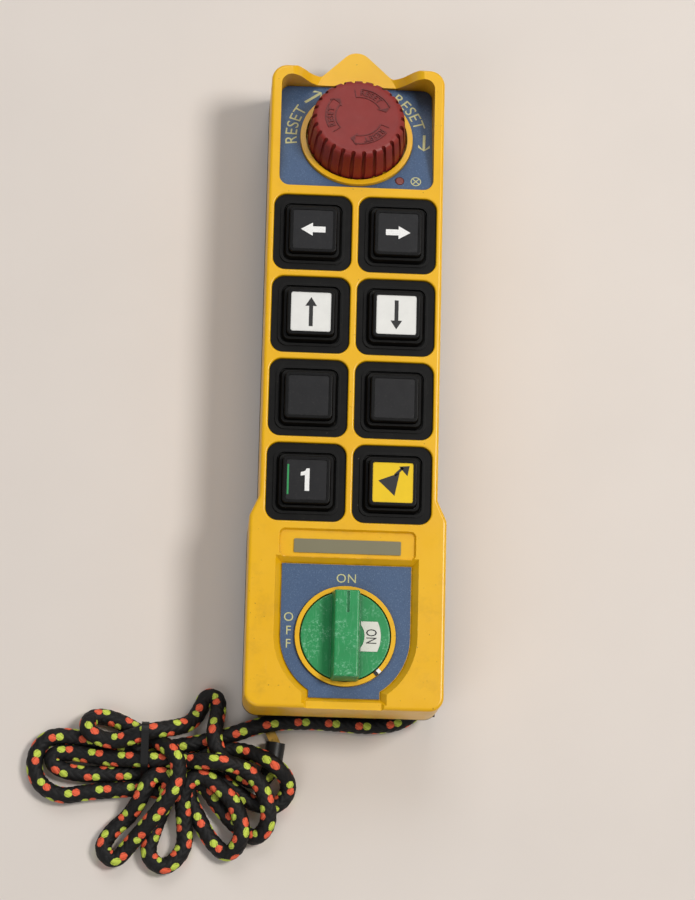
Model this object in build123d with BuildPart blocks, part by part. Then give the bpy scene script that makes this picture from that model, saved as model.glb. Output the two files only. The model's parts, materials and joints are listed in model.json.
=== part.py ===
"""Hand-held radio control station: eight keys, a twist-release stop button and a rotary start switch.

Millimetres. The station lies on its back: +Z comes out of the key face, +Y points to the stop button,
and the origin is on the resting plane under the middle of the case.
"""
import os
from math import cos, pi, radians, sin, sqrt, tan

from build123d import *

os.makedirs("parts", exist_ok=True)

# ---- case -------------------------------------------------------------------------------------
CASE_LENGTH = 237.6
UPPER_HALF_WIDTH = 30.5
LOWER_HALF_WIDTH = 33.7
FACE_Z = 38.0
SEAM_Z = 13.0
GASKET_HEIGHT = 1.0
WALL = 2.0
FACE_THICKNESS = 3.0
BACK_FLOOR = 2.3

NOSE_TIP_Y = CASE_LENGTH / 2
BOTTOM_Y = -CASE_LENGTH / 2
END_Y = NOSE_TIP_Y - 10.7
NOSE_RADIUS = 5.5
SHOULDER_TOP_Y = -46.5
SHOULDER_DROP = 7.0
FRONT_BASE_Z = SEAM_Z + GASKET_HEIGHT / 2
BACK_TOP_Z = SEAM_Z - GASKET_HEIGHT / 2

# ---- keys -------------------------------------------------------------------------------------
KEY_PITCH = 29.5
FIRST_ROW_Y = 47.1
ROWS = 4
WINDOW = 27.2
WINDOW_RADIUS = 4.2
MAT_GAP = 0.15
MAT_THICKNESS = 1.8
PAD_TOP_Z = FACE_Z - 1.2
CAP_WIDTH = 16.4
CAP_TOP_Z = FACE_Z + 3.6
CAP_GAP = 0.25
LABEL_WIDTH = 14.0
LABEL_THICKNESS = 0.4
KEY_TRAVEL = 2.2
BOARD_Z = 22.0
BOARD_THICKNESS = 1.6
SWITCH_HEIGHT = 5.0
STEM_ENTRY = SWITCH_HEIGHT - KEY_TRAVEL - 0.8

# ---- sloping top panel and stop button --------------------------------------------------------
PANEL_TILT = 16.6
STOP_Y = 83.9
COLLAR_Z = 32.8
COLLAR_RADIUS = 19.8
WELL_RADIUS = 17.95
WELL_DEPTH = 6.2
PLATE_STEP = 1.2
PLATE_THICKNESS = 0.6
RECESS_HALF_WIDTH = 27.0
RECESS_BOTTOM_Y = 63.9
RECESS_TOP_Y = 104.7
HEAD_BASE_RADIUS = 17.3
HEAD_TOP_RADIUS = 15.9
HEAD_HEIGHT = 12.7
HEAD_FLUTES = 26
FLUTE_RADIUS = 0.8
STOP_TRAVEL = 4.0
STOP_SHAFT_RADIUS = 4.0
STOP_SHAFT_DEPTH = 16.0
RUNNING_CLEARANCE = 0.05

# ---- lower recess and rotary switch -----------------------------------------------------------
KNOB_Y = -93.9
KNOB_RADIUS = 15.2
RING_OUTER = 17.1
RING_INNER = 15.6
LOWER_DEPTH = 3.0
LOWER_PLATE_HALF = 22.0
LOWER_PLATE_TOP_Y = -69.6
LOWER_PLATE_END_Y = -114.9
NECK_HALF = 12.0
KNOB_TOP_Z = 37.0
BAR_HEIGHT = 7.5
SHAFT_RADIUS = 3.0

# ---- battery compartment ----------------------------------------------------------------------
CELL_RADIUS = 7.25
CELL_LENGTH = 50.5
BATTERY_Y = -36.5
DOOR_HALF_WIDTH = 18.3
DOOR_HALF_LENGTH = 40.0
DOOR_LIFT = 0.4
MOUTH_DEPTH = 2.6
BAY_HALF_WIDTH = 17.0
BAY_HALF_LENGTH = 30.3
BAY_TOP_Z = 17.9
DOOR_SCREW_OFFSET = 35.2

# ---- lanyard ----------------------------------------------------------------------------------
ROPE = 5.8
SLOPE_LENGTH = 17.0
POST = (25.4, -109.8)
POST_RADIUS = 1.4
POST_HEAD = 1.2
ROPE_RECESS_Z = 7.6
LINK_TOP = (-29.5, -110.9)
LINK_END = (-21.5, -127.2)
LINK_Z = 0.6
LINK_THICKNESS = 1.5
LINK_WIDTH = 3.3
SLEEVE_Z = 3.6
SLEEVE_RADIUS = 3.4
SOCKET_X = -16.5
SOCKET_Y = -111.4
# The rope from its socket, round the post and along the lower end of the case to the hank.
LEAD_ROUTE = [
    (SOCKET_X, SOCKET_Y, 3.0),
    (-3.0, -111.9, 3.0),
    (11.0, -111.3, 3.2),
    (27.0, -104.3, 4.4),
    (31.0, -110.3, 4.4),
    (23.2, -118.6, 3.2),
    (11.5, -120.6, 3.0),
    (-2.0, -119.6, 3.0),
    (-14.0, -119.5, 4.4),
    (-25.5, -120.8, 5.4),
    (-36.0, -124.6, 3.8),
    (-46.0, -127.6, 3.4),
]
# Bights of the hank: tip of each lobe, the point it fans out from, and its width across.
HANK_LOBES = [
    ((-94.5, -137.3), (-62.0, -136.5), 25.0),
    ((-78.0, -124.5), (-64.0, -130.0), 18.0),
    ((-44.8, -113.2), (-50.5, -124.0), 8.5),
    ((-25.5, -140.2), (-50.0, -138.0), 21.0),
    ((-29.0, -153.0), (-40.0, -138.0), 12.0),
    ((-36.5, -160.5), (-42.0, -140.0), 13.5),
    ((-59.5, -164.0), (-54.0, -142.0), 19.0),
    ((-75.0, -162.0), (-60.0, -146.0), 15.0),
]
HANK_HUB = (-57.0, -137.0)
TIE_X = -66.5
TIE_Y = -133.5

PANEL = Plane(
    origin=(0, STOP_Y, COLLAR_Z),
    x_dir=(1, 0, 0),
    z_dir=(0, sin(radians(PANEL_TILT)), cos(radians(PANEL_TILT))),
)
KEY_PLACES = {
    f"{row + 1}_{side}": (sign * KEY_PITCH / 2, FIRST_ROW_Y - row * KEY_PITCH)
    for row in range(ROWS)
    for side, sign in (("left", -1), ("right", 1))
}
DOOR_SCREW_PLACES = [(0, BATTERY_Y + DOOR_SCREW_OFFSET), (0, BATTERY_Y - DOOR_SCREW_OFFSET)]
SCREW_PLACES = [(sx * x, y) for x, y in ((25.4, 98.0), (24.6, -61.5), (27.6, -96.0)) for sx in (-1, 1)]


def save(name, label):
    name.part.label = label
    export_step(name.part, f"parts/{label}.step")


def save_shape(shape, label):
    shape.label = label
    export_step(shape, f"parts/{label}.step")


def case_outline(inset=0.0, nose=True):
    """Outline of the case seen from the front, drawn in by inset all round."""
    nose_foot = 12.7
    nose_point = NOSE_TIP_Y + NOSE_RADIUS * (sqrt(2) - 1) * 1.05
    right = [(UPPER_HALF_WIDTH, END_Y), (UPPER_HALF_WIDTH, SHOULDER_TOP_Y)]
    right += [(LOWER_HALF_WIDTH, SHOULDER_TOP_Y - SHOULDER_DROP), (LOWER_HALF_WIDTH, BOTTOM_Y)]
    if nose:
        right = [(0, nose_point), (nose_foot, END_Y)] + right
    left = [(-x, y) for x, y in reversed(right) if x]
    with BuildSketch() as outline:
        with BuildLine():
            Polyline(*right, *left, close=True)
        make_face()
        fillet([v for v in outline.vertices() if v.Y < BOTTOM_Y + 1], 5.0)
        fillet([v for v in outline.vertices() if abs(v.Y - END_Y) < 0.1 and abs(v.X) > 20], 5.5)
        shoulder_y = SHOULDER_TOP_Y - SHOULDER_DROP / 2
        fillet([v for v in outline.vertices() if abs(v.Y - shoulder_y) < 4], 3.0)
        if nose:
            fillet([v for v in outline.vertices() if v.Y > END_Y + 5], NOSE_RADIUS)
            fillet([v for v in outline.vertices() if abs(v.Y - END_Y) < 0.1 and abs(v.X) < 20], 2.5)
        if inset:
            offset(amount=-inset)
    return outline.sketch


def above_panel(sketch_of, height, thickness=40.0):
    """A straight-sided block over sketch_of, kept only where it lies above the panel plane + height."""
    with BuildPart() as block:
        add(Plane.XY.offset(5) * sketch_of)
        extrude(amount=thickness)
        split(bisect_by=PANEL.offset(height), keep=Keep.TOP)
    return block.part


# ---- front housing ----------------------------------------------------------------------------
with BuildSketch() as recess_outline:
    with Locations((0, (RECESS_BOTTOM_Y + RECESS_TOP_Y) / 2)):
        RectangleRounded(2 * RECESS_HALF_WIDTH, RECESS_TOP_Y - RECESS_BOTTOM_Y, 3.6)

# The end wall is cut down to the panel between the two ears, with curved flanks.
with BuildPart() as valley:
    with BuildSketch(Plane.XZ.offset(-(RECESS_TOP_Y - 1.0))):
        with BuildLine():
            flank = Spline(
                (24.5, FACE_Z + 0.4),
                (21.6, 37.0),
                (19.0, 33.6),
                (16.6, 29.4),
                (14.0, 26.6),
                (11.0, 25.0),
                (7.5, 23.6),
            )
            Line(flank @ 1, (7.5, 10.0))
            Line((7.5, 10.0), (0, 10.0))
            Polyline(flank @ 0, (24.5, FACE_Z + 1), (0, FACE_Z + 1))
            mirror(about=Plane.YZ)
        make_face()
    extrude(amount=-20)
    split(bisect_by=PANEL, keep=Keep.TOP)

# Inside of the front housing: the ceiling steps down under the recesses.
with BuildPart() as front_cavity:
    with BuildSketch(Plane.XY.offset(FRONT_BASE_Z - 1)):
        add(case_outline(WALL))
    extrude(amount=FACE_Z)
    ceiling_z = FACE_Z - FACE_THICKNESS
    low_ceiling_z = FACE_Z - LOWER_DEPTH - 2.5
    slope = tan(radians(PANEL_TILT))
    under = COLLAR_Z - (PLATE_STEP + PLATE_THICKNESS + 2.4) / cos(radians(PANEL_TILT))
    with BuildSketch(Plane.YZ.offset(-40)):
        with BuildLine():
            Polyline(
                (BOTTOM_Y - 5, 0),
                (BOTTOM_Y - 5, low_ceiling_z),
                (-57.5, low_ceiling_z),
                (-56.5, ceiling_z),
                (RECESS_BOTTOM_Y - 1.8, ceiling_z),
                (RECESS_BOTTOM_Y - 1.6, under - (RECESS_BOTTOM_Y - 1.6 - STOP_Y) * slope),
                (NOSE_TIP_Y + 5, under - (NOSE_TIP_Y + 5 - STOP_Y) * slope),
                (NOSE_TIP_Y + 5, 0),
                close=True,
            )
        make_face()
    extrude(amount=80, mode=Mode.INTERSECT)

with BuildPart() as front_housing:
    with BuildSketch(Plane.XY.offset(FRONT_BASE_Z)):
        add(case_outline(nose=False))
    extrude(amount=FACE_Z - FRONT_BASE_Z)
    fillet(front_housing.edges().group_by(Axis.Z)[-1], 1.2)
    # The nose beyond the end wall stands up to the panel plane only.
    with BuildSketch(Plane.XY.offset(FRONT_BASE_Z)):
        add(case_outline())
    extrude(amount=14.0)
    add(valley.part, mode=Mode.SUBTRACT)
    add(front_cavity.part, mode=Mode.SUBTRACT)
    # Cup under the stop button, and the block that carries the rotary switch.
    with BuildSketch(PANEL.offset(-PLATE_STEP - PLATE_THICKNESS)):
        Circle(WELL_RADIUS + 2.2)
    extrude(amount=-(WELL_DEPTH + 2.4 - PLATE_STEP - PLATE_THICKNESS))
    with BuildSketch(Plane.XY.offset(FACE_Z - LOWER_DEPTH - 5.0)):
        with Locations((0, KNOB_Y)):
            Circle(RING_OUTER + 0.8)
    extrude(amount=4.0)
    # Screw posts run from the seam to the ceiling along the side walls.
    for x, y in SCREW_PLACES:
        with BuildSketch(Plane.XY.offset(BACK_TOP_Z)):
            with Locations((x, y)):
                Circle(3.6)
        extrude(amount=11.0 if y > 0 else low_ceiling_z - BACK_TOP_Z + 0.5)
    # Top recess with its raised collar and well.
    add(above_panel(recess_outline.sketch, -PLATE_STEP - PLATE_THICKNESS), mode=Mode.SUBTRACT)
    with BuildSketch(PANEL.offset(-PLATE_STEP - PLATE_THICKNESS)):
        Circle(COLLAR_RADIUS)
    extrude(amount=PLATE_STEP + PLATE_THICKNESS)
    with BuildSketch(PANEL):
        Circle(WELL_RADIUS)
    extrude(amount=-WELL_DEPTH, mode=Mode.SUBTRACT)
    with BuildSketch(PANEL):
        Circle(8.0)
    extrude(amount=-20, mode=Mode.SUBTRACT)
    with BuildSketch(PANEL):
        with Locations((15.2, -17.0)):
            Circle(1.6)
    extrude(amount=-9, mode=Mode.SUBTRACT)
    # Lower recess: a shallow label pocket above a deeper plate pocket with sloping walls.
    with BuildSketch(Plane.XY.offset(FACE_Z - 1.2)):
        with Locations((0, -62.6)):
            RectangleRounded(45.6, 9.0, 1.5)
    extrude(amount=2.0, taper=-25, mode=Mode.SUBTRACT)
    with BuildSketch(Plane.XY.offset(FACE_Z - LOWER_DEPTH)) as lower_floor:
        with Locations((0, (KNOB_Y + LOWER_PLATE_TOP_Y) / 2 + 0.2)):
            Rectangle(2 * LOWER_PLATE_HALF + 0.4, LOWER_PLATE_TOP_Y - KNOB_Y + 0.4)
        with Locations((0, KNOB_Y)):
            Circle(LOWER_PLATE_HALF + 0.2)
        with Locations((0, LOWER_PLATE_END_Y - 30)):
            Rectangle(90, 60, mode=Mode.SUBTRACT)
        with Locations((0, LOWER_PLATE_END_Y + 5)):
            Rectangle(2 * NECK_HALF + 0.4, 10.4)
    extrude(amount=LOWER_DEPTH + 1, taper=-36, mode=Mode.SUBTRACT)
    with BuildSketch(Plane.XY.offset(FACE_Z - 1.3)):
        with Locations((0, BOTTOM_Y)):
            Rectangle(2 * NECK_HALF + 1.4, 8.4)
    extrude(amount=3.0, taper=-36, mode=Mode.SUBTRACT)
    # Raised ring and well of the rotary switch.
    with BuildSketch(Plane.XY.offset(FACE_Z - LOWER_DEPTH)):
        with Locations((0, KNOB_Y)):
            Circle(RING_OUTER)
    extrude(amount=LOWER_DEPTH - 1.3)
    with BuildSketch(Plane.XY.offset(FACE_Z - 5.6)):
        with Locations((0, KNOB_Y)):
            Circle(RING_INNER)
    extrude(amount=6, mode=Mode.SUBTRACT)
    with BuildSketch(Plane.XY.offset(FACE_Z - 12)):
        with Locations((0, KNOB_Y)):
            Circle(4.6)
    extrude(amount=10, mode=Mode.SUBTRACT)
    # Key windows with softened edges.
    with BuildSketch(Plane.XY.offset(FACE_Z - FACE_THICKNESS - 0.5)):
        with Locations(*KEY_PLACES.values()):
            RectangleRounded(WINDOW, WINDOW, WINDOW_RADIUS)
    extrude(amount=FACE_THICKNESS + 1, mode=Mode.SUBTRACT)
    face_edges = front_housing.edges().filter_by_position(Axis.Z, FACE_Z - 0.01, FACE_Z + 0.01)
    window_reach = FIRST_ROW_Y + WINDOW / 2 + 0.5
    window_edges = face_edges.filter_by_position(Axis.Y, window_reach - 4 * KEY_PITCH, window_reach)
    fillet([e for e in window_edges if abs(e.center().X) < KEY_PITCH / 2 + WINDOW / 2 + 0.1], 0.6)
    # Pilot holes of the case screws.
    with BuildSketch(Plane.XY.offset(BACK_TOP_Z - 1)):
        with Locations(*SCREW_PLACES):
            Circle(1.5)
    extrude(amount=10.5, mode=Mode.SUBTRACT)
save(front_housing, "front_housing")

# ---- gasket and back housing ------------------------------------------------------------------
with BuildPart() as housing_gasket:
    with BuildSketch(Plane.XY.offset(BACK_TOP_Z)):
        add(case_outline(0.3))
        add(case_outline(1.4), mode=Mode.SUBTRACT)
    extrude(amount=GASKET_HEIGHT)
save(housing_gasket, "housing_gasket")

# The lower end of the back slopes up from the resting plane to the seam.
with BuildPart() as back_cavity:
    with BuildSketch(Plane.XY.offset(BACK_FLOOR)):
        add(case_outline(WALL))
    extrude(amount=BACK_TOP_Z)
    with BuildSketch(Plane.YZ.offset(-40)):
        with BuildLine():
            Polyline(
                (BOTTOM_Y + SLOPE_LENGTH + 2.2, 0),
                (BOTTOM_Y + 4.4, BACK_TOP_Z - 0.5),
                (BOTTOM_Y + 4.4, 30),
                (NOSE_TIP_Y + 5, 30),
                (NOSE_TIP_Y + 5, 0),
                close=True,
            )
        make_face()
    extrude(amount=80, mode=Mode.INTERSECT)

with BuildPart() as back_housing:
    with BuildSketch():
        add(case_outline())
    extrude(amount=BACK_TOP_Z)
    chamfer(back_housing.edges().group_by(Axis.Z)[0], 1.5)
    add(back_cavity.part, mode=Mode.SUBTRACT)
    # Tub of the battery bay, its ledge and the bosses of the door screws.
    with BuildSketch():
        with Locations((0, BATTERY_Y)):
            Rectangle(2 * DOOR_HALF_WIDTH + 4.6, 2 * DOOR_HALF_LENGTH + 4.6)
    extrude(amount=MOUTH_DEPTH + 2.0)
    with BuildSketch():
        with Locations((0, BATTERY_Y)):
            Rectangle(2 * BAY_HALF_WIDTH + 4.0, 2 * BAY_HALF_LENGTH + 4.0)
    extrude(amount=BAY_TOP_Z + 1.8)
    with BuildSketch():
        with Locations(*DOOR_SCREW_PLACES):
            Circle(4.4)
    extrude(amount=12.0)
    # Bosses of the case screws and of the two lanyard posts, and the roof of the rope's recess.
    with BuildSketch():
        with Locations(*SCREW_PLACES):
            Circle(4.2)
        with Locations(LINK_TOP):
            Circle(4.0)
    extrude(amount=BACK_TOP_Z)
    with BuildSketch():
        with Locations((17.2, -109.0)):
            Rectangle(31.4, 17.0)
    extrude(amount=BACK_TOP_Z - 0.5)
    # The slope of the lower end, then the recess in which the rope turns round its post.
    with BuildSketch(Plane.YZ.offset(-40)):
        with BuildLine():
            Polyline(
                (BOTTOM_Y - 1, BACK_TOP_Z - 0.3),
                (BOTTOM_Y - 1, -1),
                (BOTTOM_Y + SLOPE_LENGTH, -1),
                (BOTTOM_Y + SLOPE_LENGTH, 0),
                (BOTTOM_Y, BACK_TOP_Z - 0.3),
                close=True,
            )
        make_face()
    extrude(amount=80, mode=Mode.SUBTRACT)
    with BuildSketch(Plane.XY.offset(-1)):
        with Locations((21.5, -112.0)):
            Rectangle(37.0, 20.2)
    extrude(amount=ROPE_RECESS_Z + 1, mode=Mode.SUBTRACT)
    with BuildSketch(Plane.YZ.offset(SOCKET_X)):
        with BuildLine():
            Polyline(
                (BOTTOM_Y + 3.3, 0.6),
                (BOTTOM_Y + 12.8, 0.6),
                (BOTTOM_Y + 12.8, 4.0),
                (BOTTOM_Y + 3.3, 11.0),
                close=True,
            )
        make_face()
    extrude(amount=-6.5)
    # Battery bay and its mouth, screw holes with sunk heads.
    with BuildSketch():
        with Locations((0, BATTERY_Y)):
            RectangleRounded(2 * DOOR_HALF_WIDTH + 0.6, 2 * DOOR_HALF_LENGTH + 0.6, 3.3)
    extrude(amount=MOUTH_DEPTH, mode=Mode.SUBTRACT)
    with BuildSketch():
        with Locations((0, BATTERY_Y)):
            RectangleRounded(2 * BAY_HALF_WIDTH, 2 * BAY_HALF_LENGTH, 2.0)
    extrude(amount=BAY_TOP_Z, mode=Mode.SUBTRACT)
    with BuildSketch():
        with Locations(*SCREW_PLACES):
            Circle(1.7)
        with Locations(*DOOR_SCREW_PLACES):
            Circle(1.5)
    extrude(amount=30, mode=Mode.SUBTRACT)
    with BuildSketch():
        with Locations(*SCREW_PLACES):
            Circle(3.2)
    extrude(amount=3.2, mode=Mode.SUBTRACT)
    with BuildSketch():
        with Locations(POST, LINK_TOP):
            Circle(POST_RADIUS)
    extrude(amount=10.5, mode=Mode.SUBTRACT)
save(back_housing, "back_housing")


def socket_screw(places, head_z, head_radius, head_height, shank_radius, length):
    """Identical screws standing head down at each place, with a hexagon socket."""
    with BuildPart() as screws:
        with BuildSketch(Plane.XY.offset(head_z)):
            with Locations(*places):
                Circle(head_radius)
        extrude(amount=head_height)
        with BuildSketch(Plane.XY.offset(head_z + head_height)):
            with Locations(*places):
                Circle(shank_radius)
        extrude(amount=length)
        with BuildSketch(Plane.XY.offset(head_z)):
            with Locations(*places):
                RegularPolygon(head_radius * 0.45, 6)
        extrude(amount=head_height * 0.6, mode=Mode.SUBTRACT)
    return screws


save(socket_screw(SCREW_PLACES, 0.8, 2.75, 2.4, 1.45, 17.0), "housing_screws")
save(socket_screw(DOOR_SCREW_PLACES, DOOR_LIFT + 0.2, 2.6, 1.0, 1.45, 8.0), "door_screws")

# ---- battery door, its seal, the cells and their contacts -------------------------------------
DOOR_TOP_Z = MOUTH_DEPTH - 0.6
with BuildPart() as battery_door:
    with BuildSketch(Plane.XY.offset(DOOR_LIFT)):
        with Locations((0, BATTERY_Y)):
            RectangleRounded(2 * DOOR_HALF_WIDTH, 2 * DOOR_HALF_LENGTH, 3.0)
    extrude(amount=DOOR_TOP_Z - DOOR_LIFT)
    chamfer(battery_door.edges().group_by(Axis.Z)[0], 0.4)
    with BuildSketch(Plane.XY.offset(DOOR_LIFT)):
        with Locations(*DOOR_SCREW_PLACES):
            Circle(2.7)
    extrude(amount=1.2, mode=Mode.SUBTRACT)
    with BuildSketch(Plane.XY.offset(DOOR_LIFT)):
        with Locations(*DOOR_SCREW_PLACES):
            Circle(1.6)
    extrude(amount=5, mode=Mode.SUBTRACT)
    with BuildSketch(Plane.XY.offset(DOOR_LIFT)):
        with GridLocations(0, 5.0, 1, 5):
            with Locations((0, BATTERY_Y)):
                SlotOverall(20, 1.6)
    extrude(amount=0.5, mode=Mode.SUBTRACT)
save(battery_door, "battery_door")

with BuildPart() as door_seal:
    with BuildSketch(Plane.XY.offset(DOOR_TOP_Z)):
        with Locations((0, BATTERY_Y)):
            RectangleRounded(2 * DOOR_HALF_WIDTH - 0.4, 2 * DOOR_HALF_LENGTH - 0.4, 2.8)
            RectangleRounded(2 * BAY_HALF_WIDTH, 2 * BAY_HALF_LENGTH, 2.0, mode=Mode.SUBTRACT)
        with Locations(*DOOR_SCREW_PLACES):
            Circle(1.8, mode=Mode.SUBTRACT)
    extrude(amount=MOUTH_DEPTH - DOOR_TOP_Z)
save(door_seal, "door_seal")

cell_z = MOUTH_DEPTH + 0.2 + CELL_RADIUS
cell_end_y = BATTERY_Y - CELL_LENGTH / 2
with BuildPart() as battery_cells:
    with BuildSketch(Plane.XZ.offset(-cell_end_y)):
        with Locations((-7.7, cell_z), (7.7, cell_z)):
            Circle(CELL_RADIUS)
    extrude(amount=-(CELL_LENGTH - 1.2))
    with BuildSketch(Plane.XZ.offset(-(cell_end_y + CELL_LENGTH - 1.2))):
        with Locations((-7.7, cell_z), (7.7, cell_z)):
            Circle(2.75)
    extrude(amount=-1.2)
save(battery_cells, "battery_cells")

with BuildPart() as battery_contacts:
    for y_end, reach in ((BATTERY_Y + BAY_HALF_LENGTH, -1), (BATTERY_Y - BAY_HALF_LENGTH, 1)):
        with BuildSketch(Plane.XZ.offset(-y_end)):
            with Locations((-7.7, cell_z), (7.7, cell_z)):
                RectangleRounded(11.0, 11.0, 1.0)
        extrude(amount=-0.5 * reach)
        with BuildSketch(Plane.XZ.offset(-(y_end + 0.5 * reach))):
            with Locations((-7.7, cell_z), (7.7, cell_z)):
                Circle(3.0)
                Circle(2.0, mode=Mode.SUBTRACT)
        extrude(amount=-reach * (BAY_HALF_LENGTH - CELL_LENGTH / 2 - 0.5))
save(battery_contacts, "battery_contacts")


# ---- keypad mat, key caps, legends and switches -----------------------------------------------
MAT_Z = FACE_Z - FACE_THICKNESS - MAT_THICKNESS
KEYPAD_Y = FIRST_ROW_Y - (ROWS - 1) * KEY_PITCH / 2
HOLE = CAP_WIDTH + 2 * CAP_GAP


def key_frames(z, width, radius, inner=0.0):
    """Rounded squares, or frames where inner is given, at every key on the level z."""
    with BuildSketch(Plane.XY.offset(z)) as frames:
        with Locations(*KEY_PLACES.values()):
            RectangleRounded(width, width, radius)
            if inner:
                RectangleRounded(inner, inner, radius * 0.85, mode=Mode.SUBTRACT)
    return frames.sketch


with BuildPart() as keypad_mat:
    with BuildSketch(Plane.XY.offset(MAT_Z)):
        with Locations((0, KEYPAD_Y)):
            RectangleRounded(KEY_PITCH + WINDOW - 0.4, (ROWS - 1) * KEY_PITCH + WINDOW + 1.6, 3.0)
    extrude(amount=MAT_THICKNESS)
    extrude(key_frames(MAT_Z + 1, WINDOW - 2 * MAT_GAP, WINDOW_RADIUS), amount=PAD_TOP_Z - MAT_Z - 1)
    extrude(key_frames(PAD_TOP_Z, 22.2, 3.2, 20.6), amount=0.6)
    extrude(key_frames(PAD_TOP_Z, 19.8, 2.6), amount=2.0, taper=20)
    extrude(key_frames(PAD_TOP_Z - 0.7, 20.6, 2.7, 19.8), amount=0.7, mode=Mode.SUBTRACT)
    extrude(key_frames(MAT_Z - 1, HOLE, 1.9), amount=8, mode=Mode.SUBTRACT)
save(keypad_mat, "keypad_mat")

switch_top_z = BOARD_Z + BOARD_THICKNESS + SWITCH_HEIGHT
FLANGE_TOP_Z = MAT_Z - 0.3
for key, (x, y) in KEY_PLACES.items():
    with BuildPart() as key_cap:
        with BuildSketch(Plane.XY.offset(FLANGE_TOP_Z)):
            with Locations((x, y)):
                RectangleRounded(CAP_WIDTH, CAP_WIDTH, 1.7)
        extrude(amount=CAP_TOP_Z - FLANGE_TOP_Z)
        fillet(key_cap.edges().group_by(Axis.Z)[-1], 0.45)
        with BuildSketch(Plane.XY.offset(CAP_TOP_Z - 0.7)):
            with Locations((x, y)):
                RectangleRounded(LABEL_WIDTH, LABEL_WIDTH, 0.8)
        extrude(amount=1, mode=Mode.SUBTRACT)
        with BuildSketch(Plane.XY.offset(FLANGE_TOP_Z - 1.2)):
            with Locations((x, y)):
                RectangleRounded(CAP_WIDTH + 2.2, CAP_WIDTH + 2.2, 1.7)
        extrude(amount=1.2)
        with BuildSketch(Plane.XY.offset(FLANGE_TOP_Z - 1.2)):
            with Locations((x, y)):
                Circle(2.5)
        extrude(amount=-(FLANGE_TOP_Z - 1.2 - switch_top_z + STEM_ENTRY))
    save(key_cap, f"key_cap_{key}")
    with BuildPart() as key_label:
        with BuildSketch(Plane.XY.offset(CAP_TOP_Z - 0.7)):
            with Locations((x, y)):
                RectangleRounded(LABEL_WIDTH - 0.2, LABEL_WIDTH - 0.2, 0.7)
        extrude(amount=LABEL_THICKNESS)
    save(key_label, f"key_label_{key}")

with BuildPart() as main_board:
    with BuildSketch(Plane.XY.offset(BOARD_Z)):
        with Locations((0, 0.5)):
            RectangleRounded(54.0, 121.0, 2.0)
        with Locations((-24.6, -61.5), (24.6, -61.5)):
            Circle(5.0, mode=Mode.SUBTRACT)
    extrude(amount=BOARD_THICKNESS)
save(main_board, "main_board")

with BuildPart() as key_switches:
    with BuildSketch(Plane.XY.offset(BOARD_Z + BOARD_THICKNESS)):
        with Locations(*KEY_PLACES.values()):
            RectangleRounded(12.0, 12.0, 0.8)
    extrude(amount=SWITCH_HEIGHT)
    with BuildSketch(Plane.XY.offset(BOARD_Z + BOARD_THICKNESS + 0.4)):
        with Locations(*KEY_PLACES.values()):
            Circle(2.8)
    extrude(amount=SWITCH_HEIGHT, mode=Mode.SUBTRACT)
save(key_switches, "key_switches")

with BuildPart() as radio_module:
    with BuildSketch(Plane.XY.offset(BOARD_Z + BOARD_THICKNESS)):
        with Locations((0, FIRST_ROW_Y - 1.5 * KEY_PITCH)):
            RectangleRounded(15.0, 34.0, 0.6)
    extrude(amount=3.2)
    fillet(radio_module.edges().group_by(Axis.Z)[-1], 0.4)
save(radio_module, "radio_module")

with BuildPart() as antenna_coil:
    with BuildSketch(Plane.YZ.offset(-18)):
        with Locations((102.0, BACK_FLOOR + 2.6)):
            Circle(2.6)
            Circle(1.7, mode=Mode.SUBTRACT)
    extrude(amount=36)
save(antenna_coil, "antenna_coil")

# ---- printed plates and indicator -------------------------------------------------------------
with BuildPart() as top_plate:
    add(above_panel(offset(recess_outline.sketch, amount=-0.2), -PLATE_STEP - PLATE_THICKNESS))
    split(bisect_by=PANEL.offset(-PLATE_STEP), keep=Keep.BOTTOM)
    with BuildSketch(PANEL.offset(-5)):
        Circle(COLLAR_RADIUS + 0.15)
        with Locations((15.2, -17.0)):
            Circle(1.65)
    extrude(amount=10, mode=Mode.SUBTRACT)
save(top_plate, "top_plate")

with BuildPart() as indicator_lens:
    with BuildSketch(PANEL.offset(-4.6)):
        with Locations((15.2, -17.0)):
            Circle(1.55)
    extrude(amount=4.6 - PLATE_STEP + 0.35)
    fillet(indicator_lens.edges().sort_by(Axis.Z)[-1], 0.5)
save(indicator_lens, "indicator_lens")

with BuildPart() as indicator_led:
    with BuildSketch(PANEL.offset(-8.6)):
        with Locations((15.2, -17.0)):
            Circle(1.5)
    extrude(amount=4.0)
save(indicator_led, "indicator_led")

with BuildPart() as bottom_plate:
    with BuildSketch(Plane.XY.offset(FACE_Z - LOWER_DEPTH)):
        offset(lower_floor.sketch, amount=-0.2)
        with Locations((0, KNOB_Y)):
            Circle(RING_OUTER + 0.15, mode=Mode.SUBTRACT)
    extrude(amount=PLATE_THICKNESS)
save(bottom_plate, "bottom_plate")

with BuildPart() as label_plate:
    with BuildSketch(Plane.XY.offset(FACE_Z - 1.2)):
        with Locations((0, -63.4)):
            RectangleRounded(36.4, 4.7, 0.4)
    extrude(amount=0.4)
save(label_plate, "label_plate")

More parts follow.
